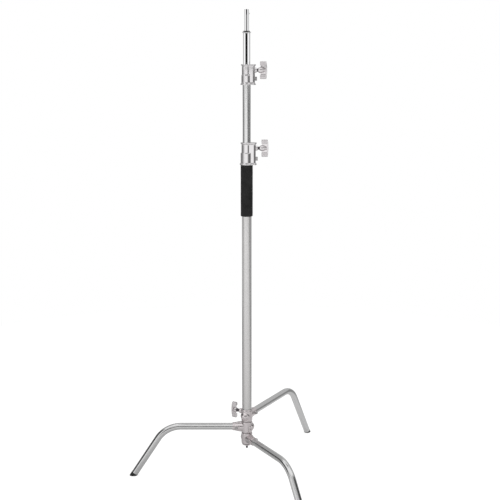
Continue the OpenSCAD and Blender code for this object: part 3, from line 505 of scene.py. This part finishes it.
def foam_grip(node):
    """Foam sleeve with rounded ends and an uneven skin, closed round its bore."""
    low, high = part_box(node)
    radii = [radius for height, radius in heights_and_radii(node)]
    inner, outer = min(radii), max(radii)
    start, end = low.z + FOAM_ROUND, high.z - FOAM_TOP_ROUND
    count = math.ceil((end - start) / FOAM_STEP)
    profile = [(inner, low.z)]
    for angle in QUARTER_ARC:
        cut, rise = 1 - math.sin(angle), 1 - math.cos(angle)
        profile.append((outer - FOAM_ROUND * cut, low.z + FOAM_ROUND * rise))
    for step in range(1, count):
        profile.append((outer, start + (end - start) * step / count))
    for angle in QUARTER_ARC:
        cut, rise = 1 - math.cos(angle), math.sin(angle)
        profile.append((outer - FOAM_TOP_ROUND * cut, end + FOAM_TOP_ROUND * rise))
    profile.append((inner, high.z))
    around = spokes(AXIS_X, AXIS_Y, FOAM_SIDES)
    rings = []
    for radius, height in profile:
        share = (radius - inner) / (outer - inner)
        ring = []
        for spoke in around:
            spot = spoke * radius + AXIS_Z * height
            # Noise from -1 to 1 becomes a dent from 0 to 1
            dent = 0.5 + 0.5 * noise.noise(spot / FOAM_WAVE_LENGTH)
            ring.append(spot - spoke * FOAM_WAVE * dent * share)
        rings.append(ring)
    grip = lofted("foam_sleeve", rings, loop=True)
    stand_for(grip, node)


def pin_spring(node):
    """Coil of round wire behind the safety pin."""
    low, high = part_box(node)
    middle = (low + high) / 2
    length = high.x - low.x
    radius = (high.z - low.z - SPRING_WIRE) / 2
    count = SPRING_TURNS * SPRING_STEPS
    rings = []
    for step in range(count + 1):
        turn = 2.0 * math.pi * SPRING_TURNS * step / count
        across = AXIS_Y * math.cos(turn) + AXIS_Z * math.sin(turn)
        reach = low.x + SPRING_WIRE / 2 + (length - SPRING_WIRE) * step / count
        centre = Vector((reach, middle.y, middle.z)) + across * radius
        rings.append([centre + spoke * SPRING_WIRE / 2 for spoke in spokes(across, AXIS_X, SPRING_SIDES)])
    spring = lofted("pin_spring", rings)
    stand_for(spring, node)
    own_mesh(spring)


def stud_ring(node):
    """Black ring over the cone at the stud's foot, in the finish of the rubber feet, a piece of its own."""
    spots = heights_and_radii(node)
    # The flange has the widest rim and carries the cone, whose tip is the highest point off the shank
    rim = max(radius for height, radius in spots)
    foot_z = max(height for height, radius in spots if radius > rim - RING_GAP)
    shank = max(radius for height, radius in spots if height > foot_z + RING_CLEAR)
    tip_z, tip_r = max(spot for spot in spots if spot[1] > shank + RING_GAP)
    foot_r = min(radius for height, radius in spots if radius > tip_r and abs(height - foot_z) < RING_GAP)
    profile = [(foot_r + RING_GAP, foot_z + RING_GAP), (foot_r + RING_WALL, foot_z + RING_GAP)]
    for angle in QUARTER_ARC:
        cut, drop = 1 - math.cos(angle), 1 - math.sin(angle)
        profile.append((tip_r + RING_TOP_WALL - RING_ROUND * cut, tip_z - RING_ROUND * drop))
    profile.append((tip_r + RING_GAP, tip_z))
    around = spokes(AXIS_X, AXIS_Y, RING_SIDES)
    rings = [[spoke * radius + AXIS_Z * height for spoke in around] for radius, height in profile]
    ring = lofted("stud_ring", rings, loop=True)
    dress(ring, BODY_OF[node], RING_SLOT)


def make_object():
    """Finishes on the CAD nodes first, then the pieces that stand for some of them, and the added ring."""
    for node, obj in frame["nodes"].items():
        for material_slot in obj.material_slots:
            material_slot.material = MATERIALS[SLOT_OF[node]]
    for nodes, voxel, passes, keep in SOFTENED:
        for node in nodes:
            rounded(node, voxel, passes, keep)
    for lock in LOCKS:
        turn = JOINT_OF[lock + "_knob_turn"]
        threaded_rod(lock + "_screw", Vector(turn["pos_m"]), Vector(turn["axis"]).normalized())
    threaded_rod("bottom_stud", Vector((0.0, 0.0, 0.0)), AXIS_Z)
    foam_grip("foam_grip")
    pin_spring("safety_spring")
    stud_ring("top_stud")


# Stage

def make_camera():
    """The photograph's camera."""
    data = bpy.data.cameras.new("camera")
    data.sensor_width = SENSOR
    data.lens = FOCAL_PX / FRAME_PX * SENSOR
    camera = bpy.data.objects.new("camera", data)
    camera.location = CAMERA_PLACE
    camera.rotation_euler = (math.pi / 2 - CAMERA_TILT, 0.0, 0.0)
    bpy.context.scene.collection.objects.link(camera)
    bpy.context.scene.camera = camera


def past(tree, angle, limit, soft):
    """0 below a limit and 1 above it, over a soft edge. The limit and the edge's width are in degrees."""
    low, high = math.radians(limit - soft / 2), math.radians(limit + soft / 2)
    return map_range(tree, angle, low, high, smooth=True)


def card_mask(tree, azimuth, elevation, middle, half, low, high, side_soft, edge_soft):
    """1 on a card and 0 off it, with soft edges."""
    away = math_node(tree, "ABSOLUTE", math_node(tree, "SUBTRACT", azimuth, math.radians(middle)))
    across = math_node(tree, "SUBTRACT", 1.0, past(tree, away, half, side_soft))
    above = past(tree, elevation, low, edge_soft)
    below = math_node(tree, "SUBTRACT", 1.0, past(tree, elevation, high, edge_soft))
    return math_node(tree, "MULTIPLY", across, math_node(tree, "MULTIPLY", above, below))


def make_world():
    """White to the camera, a studio with cards to metal, and an even soft light to the rest."""
    world = bpy.data.worlds.new("studio")
    bpy.context.scene.world = world
    world.use_nodes = True
    tree = world.node_tree
    tree.nodes.clear()
    direction = add_node(tree, "ShaderNodeTexCoord").outputs["Generated"]
    parts = add_node(tree, "ShaderNodeSeparateXYZ", {0: direction}).outputs
    toward = math_node(tree, "MULTIPLY", parts["Y"], -1.0)
    azimuth = math_node(tree, "ARCTAN2", parts["X"], toward)
    elevation = math_node(tree, "ARCSINE", parts["Z"])
    # Each card is mixed over the ones before it. A Mix node takes numbers at 2 and 3, and gives one at 0.
    level = SURROUND
    for *extent, brightness in CARDS.values():
        mask = card_mask(tree, azimuth, elevation, *extent)
        level = add_node(tree, "ShaderNodeMix", {0: mask, 2: level, 3: brightness}).outputs[0]
    soft, cards, white = [
        add_node(tree, "ShaderNodeBackground", {0: WHITE, 1: strength}).outputs[0]
        for strength in (SOFT_LEVEL, level, BACKDROP)
    ]
    camera_ray, shiny_ray = ray_kinds(tree)
    lit = add_node(tree, "ShaderNodeMixShader", {0: shiny_ray, 1: soft, 2: cards}).outputs[0]
    seen = add_node(tree, "ShaderNodeMixShader", {0: camera_ray, 1: lit, 2: white}).outputs[0]
    add_node(tree, "ShaderNodeOutputWorld", {0: seen})


def make_floor():
    """A round white floor that keeps the stand's soft shadow. Metal mirrors it at a level of its own."""
    draft = bmesh.new()
    bmesh.ops.create_circle(draft, cap_ends=True, segments=FLOOR_SIDES, radius=FLOOR_RADIUS)
    floor = mesh_object("floor", draft, smooth=False)
    material = bpy.data.materials.new("floor")
    material.use_nodes = True
    tree = material.node_tree
    tree.nodes.clear()
    spot = add_node(tree, "ShaderNodeNewGeometry").outputs["Position"]
    depth = add_node(tree, "ShaderNodeSeparateXYZ", {0: spot}).outputs["Y"]
    fading = map_range(tree, depth, FLOOR_FRONT, FLOOR_BACK, FLOOR_MIRRORED, 0.0, smooth=True)
    ends = {0: spot, 1: POOL_MIDDLE}
    away = add_node(tree, "ShaderNodeVectorMath", ends, operation="DISTANCE").outputs["Value"]
    pool = map_range(tree, away, POOL_INNER, POOL_OUTER, POOL_LEVEL, 0.0, smooth=True)
    camera_ray, shiny_ray = ray_kinds(tree)
    seen = math_node(tree, "MULTIPLY", camera_ray, FLOOR_GLOW)
    mirrored = math_node(tree, "MULTIPLY", shiny_ray, math_node(tree, "ADD", fading, pool))
    strength = math_node(tree, "ADD", seen, mirrored)
    glow = add_node(tree, "ShaderNodeEmission", {0: WHITE, 1: strength}).outputs[0]
    matte = add_node(tree, "ShaderNodeBsdfDiffuse", {0: (*grey(FLOOR_SHADE), 1.0)}).outputs[0]
    both = add_node(tree, "ShaderNodeAddShader", {0: matte, 1: glow}).outputs[0]
    add_node(tree, "ShaderNodeOutputMaterial", {0: both})
    floor.data.materials.append(material)


def make_lamps():
    """Soft lamps that metal doesn't mirror."""
    for name, (spot, size, watts, colour) in LAMPS.items():
        data = bpy.data.lights.new(name, "AREA")
        data.size = size
        data.energy = watts
        data.color = colour
        lamp = bpy.data.objects.new(name, data)
        lamp.location = spot
        lamp.rotation_euler = (LAMP_TARGET - Vector(spot)).to_track_quat("-Z", "Y").to_euler()
        lamp.visible_glossy = False
        bpy.context.scene.collection.objects.link(lamp)


make_object()
make_camera()
make_world()
make_floor()
make_lamps()
bpy.context.scene.view_settings.view_transform = "Standard"
